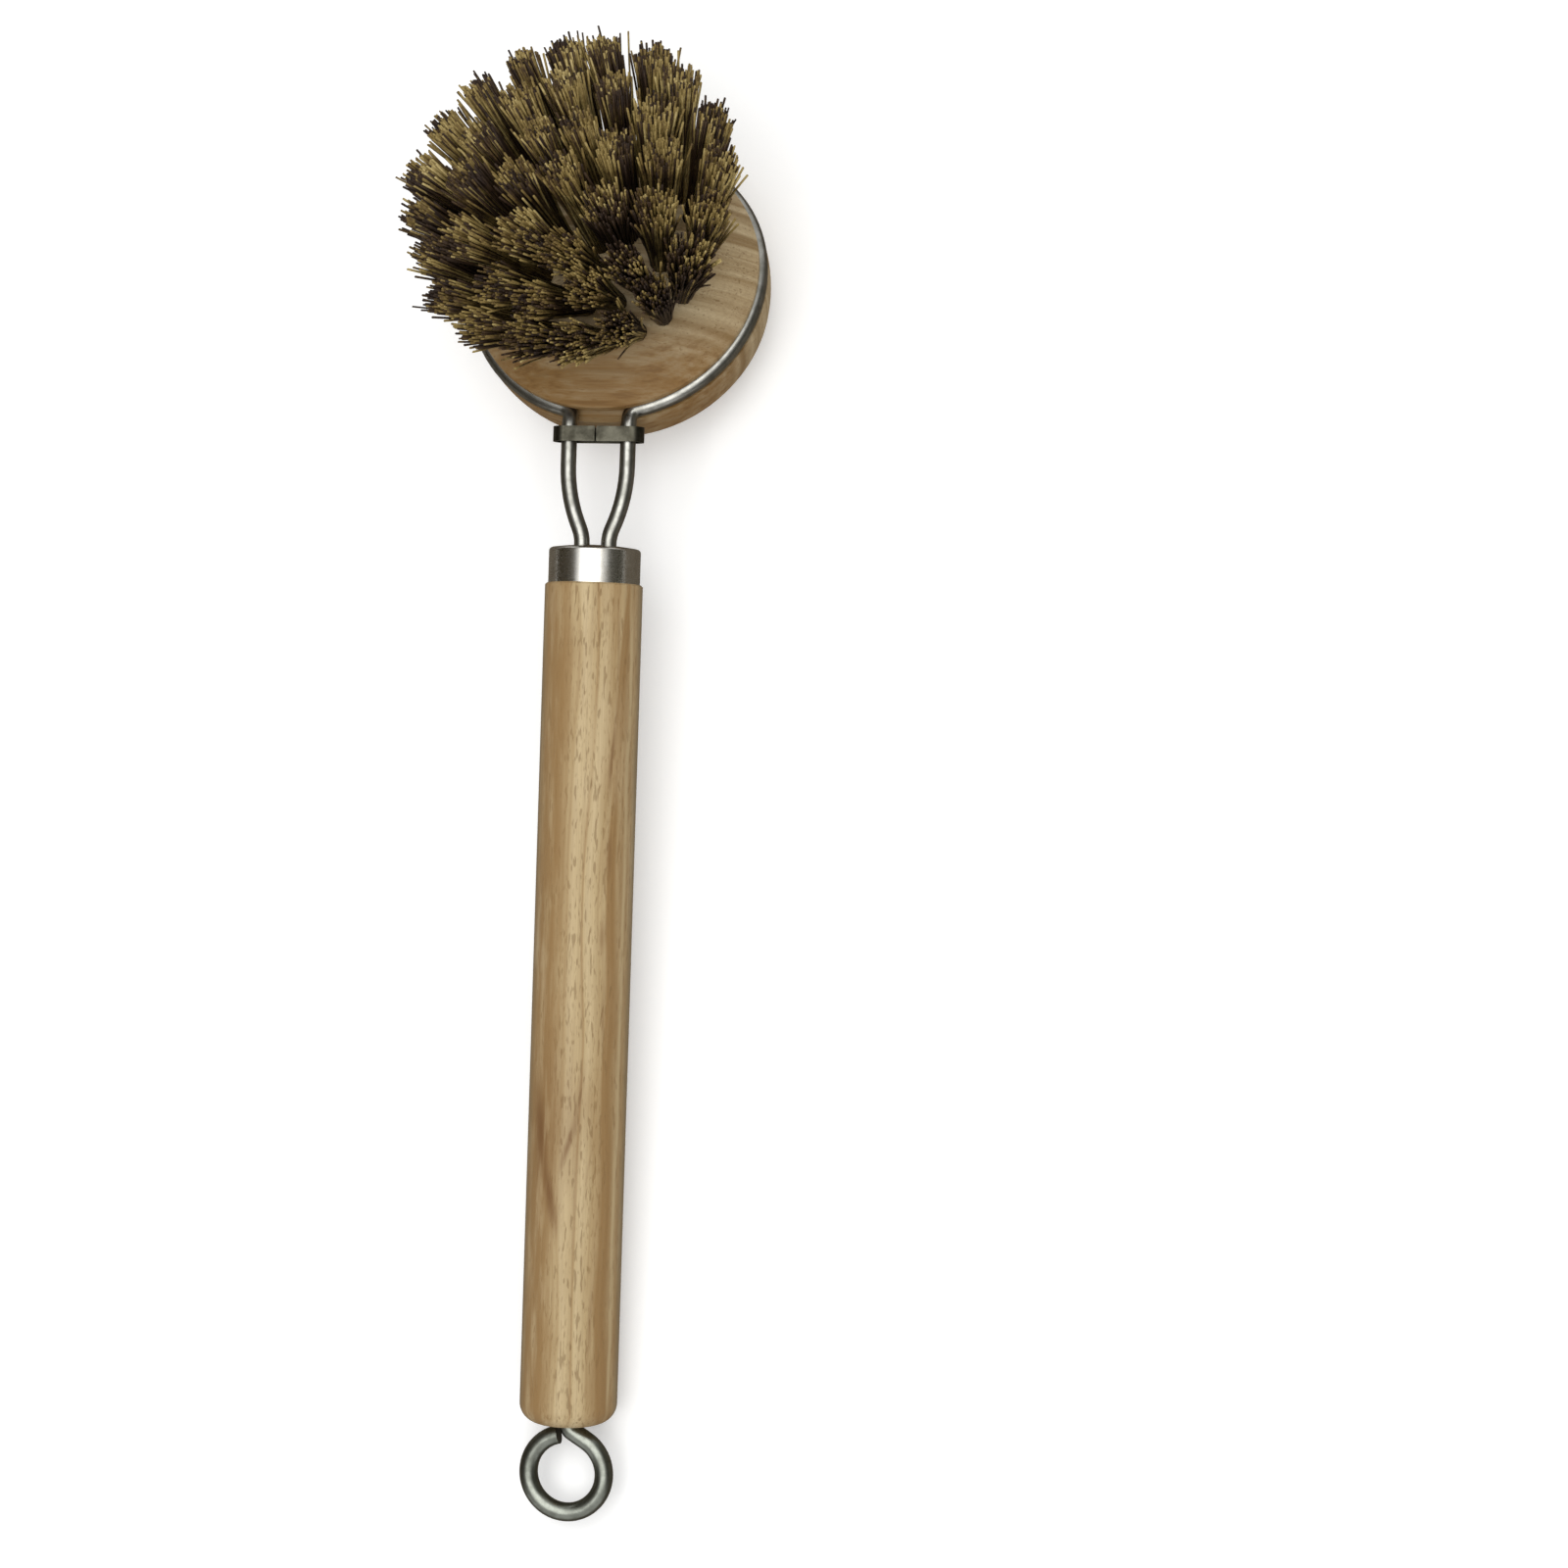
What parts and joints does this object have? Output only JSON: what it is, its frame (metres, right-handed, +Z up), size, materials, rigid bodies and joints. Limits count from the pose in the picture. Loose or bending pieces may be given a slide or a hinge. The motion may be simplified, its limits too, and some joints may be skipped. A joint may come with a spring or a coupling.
{
  "type": "dish brush",
  "caption": "Round wooden dish brush: turned handle with steel ferrule and hanging eye, wire loop with sliding clip, and a changeable domed head with tufts of plant bristle.",
  "frame": {"origin": "on the resting surface, under the middle of the brush's box", "axes": "+Y from the hanging eye to the head, +Z up with the bristles upwards, +X to the right seen from the hanging eye"},
  "size_m": [0.0556, 0.2414, 0.0528],
  "materials": {
    "handle_wood": "oiled pale hardwood",
    "block_wood": "oiled pale hardwood",
    "ferrule_steel": "polished",
    "wire_steel": "drawn wire",
    "clip_steel": "rolled strip",
    "eye_steel": "plated wire",
    "bristle": "mixed brown plant fibre",
    "anchor_wire": "flat wire"
  },
  "bodies": {
    "handle_and_wire": {"handle": "handle_wood", "ferrule": "ferrule_steel", "wire_bail": "wire_steel", "hanging_eye": "eye_steel"},
    "clip": {"slide_clip": "clip_steel"},
    "head": {"head_block": "block_wood", "anchors_centre": "anchor_wire", "anchors_inner": "anchor_wire", "anchors_middle": "anchor_wire", "anchors_outer": "anchor_wire", "tuft_centre": "bristle", "tuft_inner_1": "bristle", "tuft_inner_2": "bristle", "tuft_inner_3": "bristle", "tuft_inner_4": "bristle", "tuft_inner_5": "bristle", "tuft_inner_6": "bristle", "tuft_inner_7": "bristle", "tuft_middle_1": "bristle", "tuft_middle_2": "bristle", "tuft_middle_3": "bristle", "tuft_middle_4": "bristle", "tuft_middle_5": "bristle", "tuft_middle_6": "bristle", "tuft_middle_7": "bristle", "tuft_middle_8": "bristle", "tuft_middle_9": "bristle", "tuft_middle_10": "bristle", "tuft_middle_11": "bristle", "tuft_middle_12": "bristle", "tuft_middle_13": "bristle", "tuft_outer_1": "bristle", "tuft_outer_2": "bristle", "tuft_outer_3": "bristle", "tuft_outer_4": "bristle", "tuft_outer_5": "bristle", "tuft_outer_6": "bristle", "tuft_outer_7": "bristle", "tuft_outer_8": "bristle", "tuft_outer_9": "bristle", "tuft_outer_10": "bristle", "tuft_outer_11": "bristle", "tuft_outer_12": "bristle", "tuft_outer_13": "bristle", "tuft_outer_14": "bristle", "tuft_outer_15": "bristle", "tuft_outer_16": "bristle", "tuft_outer_17": "bristle", "tuft_outer_18": "bristle", "tuft_outer_19": "bristle", "tuft_outer_20": "bristle"}
  },
  "joints": [
    {"name": "clip_slide", "type": "slide", "parent": "handle_and_wire", "child": "clip", "axis": [0, -0.9957, -0.0923], "range_m": [0, 0.0163]},
    {"name": "head_turn", "type": "hinge", "parent": "handle_and_wire", "child": "head", "pos_m": [0, 0.08639, 0.01643], "axis": [0, 0.2539, 0.9672], "continuous": true}
  ]
}
